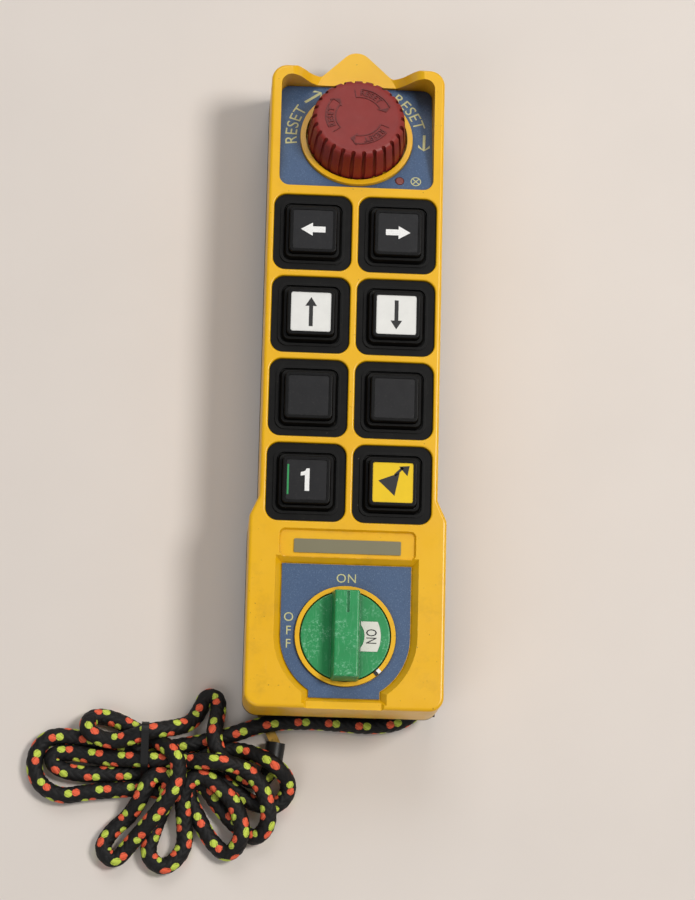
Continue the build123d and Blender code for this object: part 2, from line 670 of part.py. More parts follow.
# ---- rotary start switch ----------------------------------------------------------------------
WELL_Z = FACE_Z - 5.6
with BuildPart() as knob:
    with BuildSketch(Plane.XY.offset(WELL_Z + 0.5)):
        with Locations((0, KNOB_Y)):
            Circle(KNOB_RADIUS)
    extrude(amount=KNOB_TOP_Z - WELL_Z - 0.5)
    fillet(knob.edges().group_by(Axis.Z)[-1], 0.5)
    with BuildSketch(Plane.XY.offset(KNOB_TOP_Z)):
        with Locations((0, KNOB_Y)):
            RectangleRounded(9.8, 2 * KNOB_RADIUS + 0.4, 1.2)
    extrude(amount=BAR_HEIGHT, taper=6)
    fillet(knob.edges().group_by(Axis.Z)[-1], 0.7)
    with BuildSketch(Plane.XY.offset(WELL_Z)):
        with Locations((0, KNOB_Y)):
            Circle(12.6)
    extrude(amount=2.6, mode=Mode.SUBTRACT)
    with BuildSketch(Plane.XY.offset(WELL_Z)):
        with Locations((0, KNOB_Y)):
            Circle(SHAFT_RADIUS)
    extrude(amount=9.6, mode=Mode.SUBTRACT)
    # Pointer groove in the top of the grip bar.
    with BuildSketch(Plane.XY.offset(KNOB_TOP_Z + BAR_HEIGHT - 0.5)):
        with Locations((0.3, KNOB_Y + KNOB_RADIUS - 4.6)):
            Rectangle(0.9, 7.2)
    extrude(amount=2, mode=Mode.SUBTRACT)
save(knob, "knob")

with BuildPart() as knob_sticker:
    with BuildSketch(Plane.XY.offset(KNOB_TOP_Z)):
        with Locations((0, KNOB_Y)):
            Circle(12.0)
            Circle(6.5, mode=Mode.SUBTRACT)
        with Locations((9.2, KNOB_Y)):
            Rectangle(8.0, 10.2, mode=Mode.INTERSECT)
    extrude(amount=0.15)
save(knob_sticker, "knob_sticker")

with BuildPart() as knob_shaft:
    with BuildSketch(Plane.XY.offset(FACE_Z - 17.0)):
        with Locations((0, KNOB_Y)):
            Circle(SHAFT_RADIUS)
    extrude(amount=WELL_Z + 9.6 - FACE_Z + 17.0)
save(knob_shaft, "knob_shaft")

with BuildPart() as knob_switch:
    with BuildSketch(Plane.XY.offset(14.0)):
        with Locations((0, KNOB_Y)):
            RectangleRounded(24.0, 19.0, 2.0)
    extrude(amount=FACE_Z - LOWER_DEPTH - 5.0 - 14.0)
    with BuildSketch(Plane.XY.offset(25.0)):
        with Locations((0, KNOB_Y)):
            Circle(4.5)
    extrude(amount=WELL_Z + 2.2 - 25.0)
    with BuildSketch(Plane.XY.offset(FACE_Z - 18.0)):
        with Locations((0, KNOB_Y)):
            Circle(SHAFT_RADIUS + RUNNING_CLEARANCE)
    extrude(amount=20, mode=Mode.SUBTRACT)
save(knob_switch, "knob_switch")

with BuildPart() as knob_switch_nut:
    with BuildSketch(Plane.XY.offset(WELL_Z)):
        with Locations((0, KNOB_Y)):
            RegularPolygon(7.5, 6)
            Circle(4.5, mode=Mode.SUBTRACT)
    extrude(amount=1.8)
save(knob_switch_nut, "knob_switch_nut")

# ---- stop button, on the axis of the sloping panel --------------------------------------------
HEAD_BASE = -0.8
with BuildPart() as stop_head:
    with BuildSketch(Plane.XZ):
        with BuildLine():
            side = Line((HEAD_BASE_RADIUS, HEAD_BASE), (HEAD_TOP_RADIUS + 0.3, HEAD_HEIGHT - 2.4))
            crown = Spline(
                side @ 1,
                (HEAD_TOP_RADIUS - 0.4, HEAD_HEIGHT - 0.7),
                (HEAD_TOP_RADIUS - 2.2, HEAD_HEIGHT - 0.12),
                tangents=((side % 1), (-1, 0.05)),
            )
            Polyline(
                crown @ 1,
                (0, HEAD_HEIGHT),
                (0, 7.5),
                (13.8, 7.5),
                (14.6, HEAD_BASE),
                (HEAD_BASE_RADIUS, HEAD_BASE),
            )
        make_face()
    revolve(axis=Axis.Z)
    with BuildSketch(Plane.XY.offset(HEAD_BASE - 0.3)):
        Circle(6.4)
    extrude(amount=9.3)
    with BuildSketch(Plane.XY.offset(HEAD_BASE - 2)):
        Circle(STOP_SHAFT_RADIUS + RUNNING_CLEARANCE)
    extrude(amount=11.3, mode=Mode.SUBTRACT)
    # Grip flutes lean in with the skirt and notch the rim of the crown.
    lean = Vector(HEAD_TOP_RADIUS - 0.9 - HEAD_BASE_RADIUS, 0, HEAD_HEIGHT - HEAD_BASE)
    flute_foot = Plane(origin=Vector(HEAD_BASE_RADIUS + 0.25, 0, HEAD_BASE) - lean * 0.1, z_dir=lean)
    with BuildPart(mode=Mode.PRIVATE) as flute:
        with BuildSketch(flute_foot):
            Circle(FLUTE_RADIUS)
        extrude(amount=lean.length * 1.4)
    with PolarLocations(0, HEAD_FLUTES):
        add(flute.part, mode=Mode.SUBTRACT)
save_shape(PANEL.location * stop_head.part, "stop_head")

with BuildPart() as stop_shaft:
    with BuildSketch(PANEL.offset(-STOP_SHAFT_DEPTH)):
        Circle(STOP_SHAFT_RADIUS)
    extrude(amount=STOP_SHAFT_DEPTH + 8.4)
save(stop_shaft, "stop_shaft")

with BuildPart() as stop_bushing:
    with BuildSketch(PANEL.offset(-WELL_DEPTH - 8.5)):
        Circle(8.0)
    extrude(amount=8.5)
    with BuildSketch(PANEL.offset(-WELL_DEPTH)):
        Circle(10.5)
    extrude(amount=0.7)
    with BuildSketch(PANEL.offset(-WELL_DEPTH - 9)):
        Circle(STOP_SHAFT_RADIUS + RUNNING_CLEARANCE)
    extrude(amount=11, mode=Mode.SUBTRACT)
save(stop_bushing, "stop_bushing")

with BuildPart() as stop_nut:
    with BuildSketch(PANEL.offset(-WELL_DEPTH - 2.4)):
        RegularPolygon(11.5, 6)
        Circle(8.0, mode=Mode.SUBTRACT)
    extrude(amount=-3.0)
save(stop_nut, "stop_nut")

with BuildPart() as stop_contact_block:
    with BuildSketch(PANEL.offset(-WELL_DEPTH - 8.5)):
        RectangleRounded(26.0, 18.0, 1.5)
    extrude(amount=-11.0)
    with BuildSketch(PANEL.offset(-WELL_DEPTH - 8.0)):
        Circle(STOP_SHAFT_RADIUS + 0.4)
    extrude(amount=WELL_DEPTH + 8.0 - STOP_SHAFT_DEPTH - STOP_TRAVEL - 1.7, mode=Mode.SUBTRACT)
save(stop_contact_block, "stop_contact_block")

# ---- lanyard ----------------------------------------------------------------------------------
with BuildPart() as lanyard_posts:
    for place, top_z in ((POST, 10.3), (LINK_TOP, 9.5)):
        with BuildSketch(Plane.XY.offset(0.2)):
            with Locations(place):
                Circle(4.0 if place is POST else 2.6)
        extrude(amount=POST_HEAD - 0.2 if place is POST else LINK_Z - 0.2)
        with BuildSketch(Plane.XY.offset(0.2)):
            with Locations(place):
                Circle(POST_RADIUS)
        extrude(amount=top_z)
save(lanyard_posts, "lanyard_posts")


def stadium(start, end, width):
    """A slot outline from start to end, with its round ends centred on them."""
    run = Vector(*end) - Vector(*start)
    angle = run.get_signed_angle(Vector(1, 0), Vector(0, 0, -1))
    with BuildSketch() as slot:
        with Locations((Vector(*start) + Vector(*end)) / 2):
            SlotCenterToCenter(run.length, width, rotation=angle)
    return slot.sketch


with BuildPart() as lanyard_link:
    with BuildSketch(Plane.XY.offset(LINK_Z)):
        add(stadium(LINK_TOP, LINK_END, LINK_WIDTH))
        with Locations(LINK_TOP):
            Circle(2.9)
            Circle(POST_RADIUS, mode=Mode.SUBTRACT)
    extrude(amount=LINK_THICKNESS)
save(lanyard_link, "lanyard_link")


def corner_radii(route):
    """The largest tangent arc that each corner's two runs allow."""
    radii = []
    for before, here, after in zip(route, route[1:], route[2:]):
        run_in = Vector(*here) - Vector(*before)
        run_out = Vector(*after) - Vector(*here)
        half_turn = radians(run_in.get_angle(run_out)) / 2
        radii.append(0.45 * min(run_in.length, run_out.length) / tan(half_turn))
    return radii


lead_radii = corner_radii(LEAD_ROUTE)
print("lead radii", [round(r, 1) for r in lead_radii])
with BuildPart() as lanyard_lead:
    with BuildLine() as lead_line:
        FilletPolyline(*LEAD_ROUTE, radius=lead_radii)
    lead = lead_line.wires()[0]
    with BuildSketch(Plane(origin=lead @ 0, z_dir=lead % 0)):
        Circle(ROPE / 2)
    sweep(path=lead)
swept_length = lanyard_lead.part.volume / (pi * ROPE**2 / 4)
print("lead length", round(lead.length, 1), "volume over section", round(swept_length, 1))
save(lanyard_lead, "lanyard_lead")

with BuildPart() as lanyard_hank:
    with BuildSketch(Plane.XY.offset(0.1)):
        for tip, foot, width in HANK_LOBES:
            add(stadium(foot, tip, width))
    extrude(amount=ROPE + 0.2)
    with BuildSketch(Plane.XY.offset(ROPE)):
        with Locations(HANK_HUB):
            Ellipse(19.0, 10.5)
    extrude(amount=11.5, taper=15)
save(lanyard_hank, "lanyard_hank")

sleeve_axis = Plane(
    origin=(*LINK_END, SLEEVE_Z),
    z_dir=(-1.0, -8.0, 0.0),
)
with BuildPart() as lanyard_sleeve:
    with BuildSketch(sleeve_axis):
        Circle(SLEEVE_RADIUS)
    extrude(amount=8.0)
save(lanyard_sleeve, "lanyard_sleeve")

with BuildPart() as lanyard_tie:
    with BuildSketch(Plane.YZ.offset(TIE_X - 1.3)):
        with Locations((TIE_Y, 7.4)):
            RectangleRounded(18.6, 14.6, 4.5)
            RectangleRounded(17.2, 13.2, 3.9, mode=Mode.SUBTRACT)
    extrude(amount=2.6)
save(lanyard_tie, "lanyard_tie")
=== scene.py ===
"""Looks of the hand-held radio control station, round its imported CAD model. Metres, in the CAD frame."""
import json
from math import cos, floor, pi, radians, sin

import bmesh
import bpy
from mathutils import Matrix, Vector


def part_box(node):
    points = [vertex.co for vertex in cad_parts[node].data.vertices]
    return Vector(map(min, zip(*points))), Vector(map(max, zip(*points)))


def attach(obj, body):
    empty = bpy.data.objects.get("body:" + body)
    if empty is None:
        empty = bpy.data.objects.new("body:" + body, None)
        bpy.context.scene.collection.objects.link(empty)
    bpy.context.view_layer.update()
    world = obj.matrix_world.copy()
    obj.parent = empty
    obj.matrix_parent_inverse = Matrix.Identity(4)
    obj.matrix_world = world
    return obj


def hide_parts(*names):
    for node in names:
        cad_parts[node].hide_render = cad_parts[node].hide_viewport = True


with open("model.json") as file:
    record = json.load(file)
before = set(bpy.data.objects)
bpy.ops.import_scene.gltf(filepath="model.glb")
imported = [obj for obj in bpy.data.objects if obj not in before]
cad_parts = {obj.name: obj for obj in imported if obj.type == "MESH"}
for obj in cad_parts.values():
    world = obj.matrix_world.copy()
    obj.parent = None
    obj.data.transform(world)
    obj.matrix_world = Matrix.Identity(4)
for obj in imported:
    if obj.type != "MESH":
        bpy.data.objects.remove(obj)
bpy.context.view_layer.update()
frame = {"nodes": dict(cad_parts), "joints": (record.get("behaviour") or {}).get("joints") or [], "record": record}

MM = 0.001
scene = bpy.context.scene
scene.view_settings.view_transform = "Standard"

# ---- camera and light ---------------------------------------------------------------------------
camera_data = bpy.data.cameras.new("camera")
camera_data.lens = 113.6
camera = bpy.data.objects.new("camera", camera_data)
camera.location = (-0.0517, -0.2325, 0.9870)
camera.rotation_mode = "ZYX"
camera.rotation_euler = (radians(12.05), radians(-3.0), radians(2.03))
scene.collection.objects.link(camera)
scene.camera = camera


def area_light(name, place, aim, size, power, colour):
    data = bpy.data.lights.new(name, "AREA")
    data.shape = "DISK"
    data.size = size
    data.energy = power
    data.color = colour
    lamp = bpy.data.objects.new(name, data)
    lamp.location = place
    lamp.rotation_euler = (Vector(aim) - Vector(place)).to_track_quat("-Z", "Y").to_euler()
    scene.collection.objects.link(lamp)


area_light("key_light", (0.75, 0.15, 1.3), (0, 0, 0), 0.4, 13.0, (1.0, 0.97, 0.93))
area_light("fill_light", (-0.6, -0.9, 1.1), (0, 0, 0), 0.9, 3.6, (1.0, 0.98, 0.97))
area_light("top_light", (-0.1, 0.9, 1.0), (0, 0, 0), 0.8, 4.2, (0.97, 0.98, 1.0))
world = bpy.data.worlds.new("studio")
world.use_nodes = True
world.node_tree.nodes["Background"].inputs["Color"].default_value = (1.0, 0.985, 0.97, 1)
world.node_tree.nodes["Background"].inputs["Strength"].default_value = 0.24
scene.world = world


# ---- material building blocks -------------------------------------------------------------------
class Shader:
    """A Principled material whose colour, roughness and bump are built up from nodes in object space."""

    def __init__(self, name, **sockets):
        self.material = bpy.data.materials.new(name)
        self.material.use_nodes = True
        self.tree = self.material.node_tree
        self.surface = self.tree.nodes["Principled BSDF"]
        for socket, value in sockets.items():
            self.surface.inputs[socket.replace("_", " ")].default_value = value
        self.place = self.node("TexCoord").outputs["Object"]

    def node(self, kind, **settings):
        made = self.tree.nodes.new("ShaderNode" + kind)
        for key, value in settings.items():
            setattr(made, key, value)
        return made

    def wire(self, source, socket):
        if hasattr(source, "links"):
            self.tree.links.new(source, socket)
        else:
            socket.default_value = source

    def maths(self, operation, first, second=0.0):
        made = self.node("Math", operation=operation)
        self.wire(first, made.inputs[0])
        self.wire(second, made.inputs[1])
        return made.outputs[0]

    def noise(self, size_mm, detail=3.0, rough=0.55, stretch=(1, 1, 1)):
        """Noise whose blotches are about size_mm across."""
        mapping = self.node("Mapping")
        mapping.inputs["Scale"].default_value = stretch
        self.wire(self.place, mapping.inputs["Vector"])
        made = self.node("TexNoise")
        self.wire(mapping.outputs[0], made.inputs["Vector"])
        made.inputs["Scale"].default_value = 1 / (size_mm * MM)
        made.inputs["Detail"].default_value = detail
        made.inputs["Roughness"].default_value = rough
        return made.outputs["Fac"]

    def ramp(self, source, low, high):
        """0 below low, 1 above high."""
        made = self.node("MapRange", interpolation_type="SMOOTHSTEP")
        self.wire(source, made.inputs["Value"])
        made.inputs["From Min"].default_value = low
        made.inputs["From Max"].default_value = high
        return made.outputs["Result"]

    def mix(self, share, first, second):
        made = self.node("Mix", data_type="RGBA")
        self.wire(share, made.inputs[0])
        self.wire(first, made.inputs[6])
        self.wire(second, made.inputs[7])
        return made.outputs[2]

    def hollows(self, reach_mm, low=0.35, high=0.95):
        """1 in tight corners, 0 on open faces, from ambient occlusion: the mask for painted shade in corners, and
        on metal for tarnish.
        """
        made = self.node("AmbientOcclusion", samples=6)
        made.inputs["Distance"].default_value = reach_mm * MM
        return self.maths("SUBTRACT", 1.0, self.ramp(made.outputs["AO"], low, high))

    def edges(self, radius_mm, low=0.004, high=0.05):
        """1 on sharp edges, where parts rub."""
        rounded = self.node("Bevel", samples=4)
        rounded.inputs["Radius"].default_value = radius_mm * MM
        geometry = self.node("NewGeometry")
        dot = self.node("VectorMath", operation="DOT_PRODUCT")
        self.wire(rounded.outputs[0], dot.inputs[0])
        self.wire(geometry.outputs["Normal"], dot.inputs[1])
        return self.ramp(self.maths("SUBTRACT", 1.0, dot.outputs["Value"]), low, high)

    def finish(self, colour, roughness, height=None, depth_mm=0.05, strength=0.4):
        self.wire(colour, self.surface.inputs["Base Color"])
        self.wire(roughness, self.surface.inputs["Roughness"])
        if height is not None:
            bump = self.node("Bump")
            bump.inputs["Distance"].default_value = depth_mm * MM
            bump.inputs["Strength"].default_value = strength
            self.wire(height, bump.inputs["Height"])
            self.wire(bump.outputs[0], self.surface.inputs["Normal"])
        return self.material

    def spread(self, source, low, high):
        """source's 0..1 as low..high."""
        return self.maths("ADD", low, self.maths("MULTIPLY", source, high - low))


def rgb(red, green, blue):
    """A colour as seen on a screen, 0 to 255, in linear light."""
    def linear(value):
        value /= 255
        return value / 12.92 if value <= 0.04045 else ((value + 0.055) / 1.055) ** 2.4
    return (linear(red), linear(green), linear(blue), 1)


def moulded(name, colour, rough, grain_mm=0.5, depth_mm=0.02, shade_colour=(0.02, 0.017, 0.012, 1), shade_share=0.5,
            wear=None, **sockets):
    """Moulded plastic: fine grain, cloudy tone, patchy painted shade in the hollows and pale rubbed edges."""
    s = Shader(name, **sockets)
    cloud = s.noise(14, 4)
    shade = tuple(c * 0.82 for c in colour[:3]) + (1,)
    tone = s.mix(s.maths("MULTIPLY", cloud, 0.5), colour, shade)
    if wear:
        rubbed = s.maths("MULTIPLY", s.edges(0.35), s.ramp(s.noise(1.6, 5), 0.42, 0.62))
        tone = s.mix(s.maths("MULTIPLY", rubbed, 0.55), tone, wear)
    # Painted shade: ambient occlusion darkens the hollows, broken into patches by noise.
    corner_shade = s.maths("MULTIPLY", s.hollows(2.6), s.ramp(s.noise(3.2, 5), 0.25, 0.75))
    tone = s.mix(s.maths("MULTIPLY", corner_shade, shade_share), tone, shade_colour)
    polish = s.spread(s.noise(6, 5), rough - 0.07, rough + 0.1)
    return s.finish(tone, polish, s.noise(grain_mm, 3), depth_mm)


# ---- materials ----------------------------------------------------------------------------------
def case_yellow():
    """Glossy yellow shell: greasy film, brown specks, scratches, more soiling towards the lower end and painted
    shade in the corners.
    """
    s = Shader("case_yellow", Coat_Weight=0.12, Coat_Roughness=0.25)
    tone = s.mix(s.noise(22, 4), rgb(243, 190, 8), rgb(232, 172, 2))
    height = s.node("SeparateXYZ")
    s.wire(s.place, height.inputs[0])
    lower = s.ramp(height.outputs["Y"], 0.02, -0.13)
    smudge = s.maths("MULTIPLY", s.ramp(s.noise(9, 6, 0.65), 0.5, 0.78), s.spread(lower, 0.08, 0.26))
    tone = s.mix(smudge, tone, rgb(150, 108, 28))
    # Painted shade: ambient occlusion darkens the corners brown, broken into patches by noise.
    corners = s.maths("MULTIPLY", s.hollows(3.5), s.ramp(s.noise(4, 5), 0.2, 0.8))
    tone = s.mix(s.maths("MULTIPLY", corners, 0.5), tone, rgb(120, 74, 12))
    specks = s.ramp(s.noise(1.1, 2), 0.73, 0.76)
    tone = s.mix(s.maths("MULTIPLY", specks, 0.6), tone, rgb(92, 62, 24))
    scratch = s.ramp(s.noise(1.0, 2, 0.5, (1, 0.06, 1)), 0.7, 0.74)
    rubbed = s.maths("MULTIPLY", s.edges(0.5), s.ramp(s.noise(2.2, 5), 0.5, 0.68))
    tone = s.mix(s.maths("MULTIPLY", rubbed, 0.35), tone, rgb(250, 214, 110))
    rough = s.maths("ADD", s.spread(s.noise(7, 5), 0.27, 0.42), s.maths("MULTIPLY", scratch, 0.15))
    fine = s.maths("SUBTRACT", s.noise(0.45, 3), s.maths("MULTIPLY", scratch, 0.6))
    return s.finish(tone, rough, fine, 0.02, 0.35)


def speckled_blue():
    """Blue polycarbonate face film with a fine pale and dark speckle, and painted shade in its hollows."""
    s = Shader("plate_blue")
    tone = s.mix(s.noise(12, 3), rgb(64, 91, 128), rgb(55, 81, 116))
    tone = s.mix(s.maths("MULTIPLY", s.ramp(s.noise(0.42, 1), 0.56, 0.7), 0.42), tone, rgb(108, 132, 160))
    tone = s.mix(s.maths("MULTIPLY", s.ramp(s.noise(0.5, 1, 0.5, (1.1, 0.9, 1)), 0.6, 0.72), 0.5), tone,
                 rgb(40, 60, 96))
    # Painted shade: ambient occlusion darkens the hollows of the plate.
    corner_shade = s.maths("MULTIPLY", s.hollows(4.0), 0.55)
    tone = s.mix(corner_shade, tone, rgb(28, 38, 58))
    return s.finish(tone, s.spread(s.noise(5, 4), 0.38, 0.55), s.noise(0.35, 2), 0.03, 0.5)


def printed_ink(name, colour):
    """Screen-printed ink, thin and slightly broken up."""
    s = Shader(name)
    tone = s.mix(s.maths("MULTIPLY", s.ramp(s.noise(0.5, 4), 0.45, 0.75), 0.35), colour,
                 tuple(c * 0.55 for c in colour[:3]) + (1,))
    return s.finish(tone, s.spread(s.noise(2, 3), 0.4, 0.6), s.noise(0.3, 2), 0.01)


def dusty_rubber():
    """Black silicone with a bloom of pale dust on the open faces."""
    s = Shader("rubber_black", Specular_IOR_Level=0.18)
    bloom = s.maths("MULTIPLY", s.ramp(s.noise(5, 6, 0.7), 0.42, 0.8), 0.22)
    tone = s.mix(bloom, rgb(5, 5, 5), rgb(38, 37, 34))
    specks = s.maths("MULTIPLY", s.ramp(s.noise(0.7, 2), 0.74, 0.78), 0.5)
    tone = s.mix(specks, tone, rgb(120, 112, 98))
    worn = s.maths("MULTIPLY", s.edges(0.4), 0.3)
    tone = s.mix(worn, tone, rgb(48, 48, 48))
    return s.finish(tone, s.spread(s.noise(4, 5), 0.42, 0.62), s.noise(0.4, 4), 0.03, 0.5)


def stop_red(name, light, deep):
    """Worn red mushroom head: matt crown, paler rubbed teeth and painted shade between them."""
    s = Shader(name, Coat_Weight=0.06, Coat_Roughness=0.4)
    tone = s.mix(s.noise(7, 5), light, deep)
    # Painted shade: ambient occlusion darkens the hollows between the teeth.
    corner_shade = s.maths("MULTIPLY", s.hollows(1.6, 0.2, 0.9), 0.62)
    tone = s.mix(corner_shade, tone, rgb(48, 12, 14))
    rubbed = s.maths("MULTIPLY", s.edges(0.3), s.ramp(s.noise(1.2, 4), 0.35, 0.6))
    tone = s.mix(s.maths("MULTIPLY", rubbed, 0.35), tone, rgb(190, 88, 80))
    film = s.maths("MULTIPLY", s.ramp(s.noise(2.4, 6, 0.7), 0.55, 0.8), 0.22)
    tone = s.mix(film, tone, rgb(166, 80, 72))
    return s.finish(tone, s.spread(s.noise(3, 5), 0.4, 0.58), s.noise(0.35, 4), 0.03, 0.5)


def knob_green():
    """Green knob scuffed to a pale mint by years of thumbs, with painted shade in its corners."""
    s = Shader("knob_green", Coat_Weight=0.1, Coat_Roughness=0.3)
    tone = s.mix(s.noise(6, 4), rgb(26, 150, 84), rgb(18, 132, 70))
    scuff = s.maths("MULTIPLY", s.ramp(s.noise(0.9, 6, 0.75), 0.5, 0.62), s.ramp(s.noise(6.5, 3), 0.46, 0.62))
    streak = s.maths("MULTIPLY", s.ramp(s.noise(0.7, 4, 0.6, (1, 0.12, 1)), 0.56, 0.72), 0.4)
    tone = s.mix(s.maths("MULTIPLY", s.maths("MAXIMUM", scuff, streak), 0.55), tone, rgb(150, 214, 178))
    rubbed = s.maths("MULTIPLY", s.edges(0.45), s.ramp(s.noise(1.0, 4), 0.36, 0.6))
    tone = s.mix(s.maths("MULTIPLY", rubbed, 0.6), tone, rgb(150, 220, 180))
    # Painted shade: ambient occlusion darkens the knob's corners.
    tone = s.mix(s.maths("MULTIPLY", s.hollows(2.0), 0.6), tone, rgb(6, 58, 30))
    return s.finish(tone, s.spread(s.noise(2.5, 5), 0.3, 0.5), s.noise(0.5, 5), 0.03, 0.5)


def metal(name, colour, rough, tarnish):
    """Plated or bare metal with fine wipe marks and dull patches."""
    s = Shader(name, Metallic=1.0)
    patches = s.maths("MULTIPLY", s.ramp(s.noise(1.8, 5), 0.45, 0.72), 0.6)
    tone = s.mix(s.maths("MAXIMUM", patches, s.maths("MULTIPLY", s.hollows(1.0), 0.8)), colour, tarnish)
    fine = s.noise(0.3, 3, 0.6, (1, 0.15, 1))
    return s.finish(tone, s.spread(s.noise(1.5, 5), rough, rough + 0.2), fine, 0.01, 0.4)


def film_print(name, colour, rough, dust=0.12):
    """A printed key insert under a clear film, with fine dust and painted shade in its corners."""
    s = Shader(name, Coat_Weight=0.2, Coat_Roughness=0.25, Specular_IOR_Level=0.3)
    dark = tuple(c * 0.86 for c in colour[:3]) + (1,)
    tone = s.mix(s.noise(4, 4), colour, dark)
    specks = s.maths("MULTIPLY", s.ramp(s.noise(0.8, 5, 0.7), 0.55, 0.8), dust)
    tone = s.mix(specks, tone, rgb(128, 122, 112))
    # Painted shade: ambient occlusion darkens the corners to near black.
    tone = s.mix(s.maths("MULTIPLY", s.hollows(0.9), 0.5), tone, (0.008, 0.008, 0.008, 1))
    return s.finish(tone, s.spread(s.noise(3, 4), rough, rough + 0.14), s.noise(0.8, 3), 0.01, 0.4)


def braided_rope():
    """Sixteen-strand black braid. U runs along the rope in pitches, V round it, and the strands follow both.
    Of the eight strands one way, two are orange and the two beside them yellow-green: where one rides over the
    others it swells into an oval fleck."""
    s = Shader("rope", Specular_IOR_Level=0.35)
    uv = s.node("UVMap", uv_map="braid")
    place = s.node("SeparateXYZ")
    s.wire(uv.outputs[0], place.inputs[0])
    turn = s.maths("MULTIPLY", place.outputs["X"], STRANDS)
    round_it = s.maths("MULTIPLY", place.outputs["Y"], STRANDS)
    right = s.maths("SUBTRACT", round_it, turn)
    left = s.maths("ADD", round_it, turn)
    step = s.maths("FLOORED_MODULO", s.maths("ADD", s.maths("FLOOR", right), s.maths("FLOOR", left)), 4.0)
    right_on_top = s.maths("LESS_THAN", step, 1.5)
    across = s.maths("ADD", s.maths("MULTIPLY", s.maths("FRACT", right), right_on_top),
                     s.maths("MULTIPLY", s.maths("FRACT", left), s.maths("SUBTRACT", 1.0, right_on_top)))
    centred = s.maths("SUBTRACT", s.maths("MULTIPLY", across, 2.0), 1.0)
    crown = s.maths("SUBTRACT", 1.0, s.maths("MULTIPLY", centred, centred))
    yarns = s.maths("SINE", s.maths("MULTIPLY", across, 2 * pi * YARNS))
    ragged = s.maths("MULTIPLY", s.maths("SUBTRACT", s.noise(0.5, 4), 0.5), 0.9)

    def fleck(right_middle, left_middle):
        def offset(value, middle):
            return s.maths("SUBTRACT", s.maths("FLOORED_MODULO", s.maths("ADD", value, 2 - middle), 4.0), 2.0)
        across_lay, along_lay = offset(right, right_middle), offset(left, left_middle)
        down = s.maths("MULTIPLY", s.maths("SUBTRACT", along_lay, across_lay),
                       PITCH / 2 / STRANDS / FLECK_LENGTH)
        over = s.maths("MULTIPLY", s.maths("ADD", along_lay, across_lay),
                       pi * ROPE / 2 / STRANDS / FLECK_WIDTH)
        reach = s.maths("ADD", s.maths("MULTIPLY", down, down), s.maths("MULTIPLY", over, over))
        return s.maths("SUBTRACT", 1.0, s.ramp(s.maths("ADD", reach, ragged), 0.78, 1.15))

    tone = s.mix(s.noise(1.2, 5), rgb(5, 5, 6), rgb(20, 19, 20))
    fluff = s.noise(0.35, 3)
    tone = s.mix(fleck(1.5, 0.0), tone, s.mix(fluff, rgb(176, 206, 50), rgb(222, 232, 104)))
    tone = s.mix(fleck(0.5, 1.0), tone, s.mix(fluff, rgb(236, 74, 40), rgb(250, 122, 84)))
    # Painted shade: the grooves between the strands are darkened to near black.
    gap = s.maths("MULTIPLY", s.maths("SUBTRACT", 1.0, s.ramp(crown, 0.0, 0.35)), 0.75)
    tone = s.mix(gap, tone, (0.002, 0.002, 0.002, 1))
    height = s.maths("ADD", crown, s.maths("MULTIPLY", yarns, 0.12))
    return s.finish(tone, s.spread(fluff, 0.5, 0.75), height, 0.15, 0.7)


# The rope's diameter and the pitch of its braid, in mm.
ROPE = 5.8
PITCH = 21.6
FLECK_LENGTH = 1.4
FLECK_WIDTH = 1.45
STRANDS = 8
YARNS = 4
made = {
    "case_yellow": case_yellow(),
    "case_black": moulded("case_black", rgb(17, 17, 18), 0.38, 0.6, 0.03, wear=rgb(74, 74, 74),
                          Specular_IOR_Level=0.4),
    "rubber_black": dusty_rubber(),
    "cap_black": moulded("cap_black", rgb(7, 7, 8), 0.42, 0.4, 0.02, wear=rgb(52, 52, 52),
                         Specular_IOR_Level=0.18),
    "legend_dark": film_print("legend_dark", rgb(26, 26, 29), 0.3),
    "legend_white": film_print("legend_white", rgb(236, 236, 232), 0.4, 0.08),
    "legend_yellow": film_print("legend_yellow", rgb(246, 206, 18), 0.38, 0.08),
    "plate_blue": speckled_blue(),
    "label_grey": moulded("label_grey", rgb(126, 121, 94), 0.42, 0.3, 0.01, shade_share=0.4),
    "stop_red": stop_red("stop_red", rgb(144, 34, 26), rgb(120, 26, 20)),
    "knob_green": knob_green(),
    "sticker_white": film_print("sticker_white", rgb(232, 230, 220), 0.5, 0.3),
    "lens_red": moulded("lens_red", rgb(128, 60, 52), 0.4, 0.4, 0.01),
    "steel": metal("steel", (0.62, 0.62, 0.62, 1), 0.24, (0.2, 0.19, 0.18, 1)),
    "brass": metal("brass", (0.66, 0.42, 0.1, 1), 0.2, (0.13, 0.07, 0.02, 1)),
    "board_green": moulded("board_green", rgb(24, 96, 52), 0.4, 0.7, 0.03, Coat_Weight=0.3),
    "cell_wrap": metal("cell_wrap", (0.12, 0.12, 0.15, 1), 0.28, (0.4, 0.26, 0.06, 1)),
    "rope": braided_rope(),
    "sleeve_black": moulded("sleeve_black", rgb(10, 10, 11), 0.4, 0.5, 0.05, Specular_IOR_Level=0.4),
}
ink_cream = printed_ink("ink_cream", rgb(196, 194, 140))
ink_white = printed_ink("ink_white", rgb(240, 240, 238))
ink_black = printed_ink("ink_black", rgb(20, 20, 22))
ink_green = printed_ink("ink_green", rgb(34, 150, 82))
# Painted shade: a darker copy of the stop red for the raised work on the head, standing in for the shade along its
# edges.
shaded_raised_red = stop_red("shaded_raised_red", rgb(104, 22, 18), rgb(84, 16, 14))

for part in frame["record"]["subparts"]:
    mesh = frame["nodes"][part["node"]].data
    mesh.materials.clear()
    mesh.materials.append(made[part["material_slot"]])


